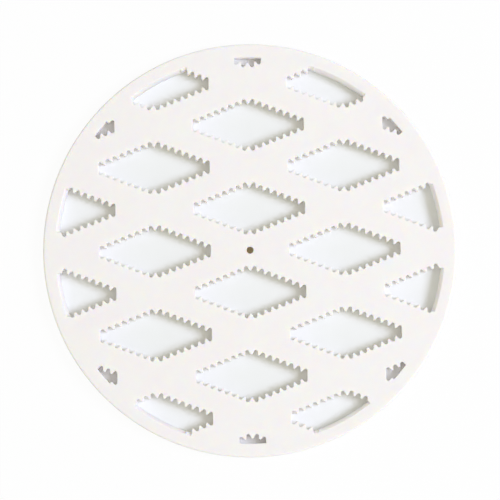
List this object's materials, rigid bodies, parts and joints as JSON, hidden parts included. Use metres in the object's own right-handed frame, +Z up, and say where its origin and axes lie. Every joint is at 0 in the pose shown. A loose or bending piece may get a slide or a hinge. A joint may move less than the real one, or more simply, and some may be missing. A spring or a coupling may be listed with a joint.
{
  "type": "pastry lattice cutter",
  "caption": "Round white moulded cutter whose flat face is pierced by staggered diamond openings with toothed edges, for cutting a lattice top from rolled pastry.",
  "frame": {"origin": "centre of the disc, on the plane that the skirt's foot and the cutting edges stand on", "axes": "+Z up through the flat face, X along the long way of the diamond openings, Y along their columns"},
  "size_m": [0.3, 0.3, 0.012],
  "materials": {
    "white_plastic": "satin moulded plastic, warm white"
  },
  "bodies": {
    "root": {"face_plate": "white_plastic", "rim_skirt": "white_plastic", "cutting_wall_left2_upper2": "white_plastic", "cutting_wall_left2_upper1": "white_plastic", "cutting_wall_left2_lower1": "white_plastic", "cutting_wall_left2_lower2": "white_plastic", "cutting_wall_left1_upper2": "white_plastic", "cutting_wall_left1_upper1": "white_plastic", "cutting_wall_left1_middle": "white_plastic", "cutting_wall_left1_lower1": "white_plastic", "cutting_wall_left1_lower2": "white_plastic", "cutting_wall_middle_upper3": "white_plastic", "cutting_wall_middle_upper2": "white_plastic", "cutting_wall_middle_upper1": "white_plastic", "cutting_wall_middle_lower1": "white_plastic", "cutting_wall_middle_lower2": "white_plastic", "cutting_wall_middle_lower3": "white_plastic", "cutting_wall_right1_upper2": "white_plastic", "cutting_wall_right1_upper1": "white_plastic", "cutting_wall_right1_middle": "white_plastic", "cutting_wall_right1_lower1": "white_plastic", "cutting_wall_right1_lower2": "white_plastic", "cutting_wall_right2_upper2": "white_plastic", "cutting_wall_right2_upper1": "white_plastic", "cutting_wall_right2_lower1": "white_plastic", "cutting_wall_right2_lower2": "white_plastic"}
  },
  "joints": []
}
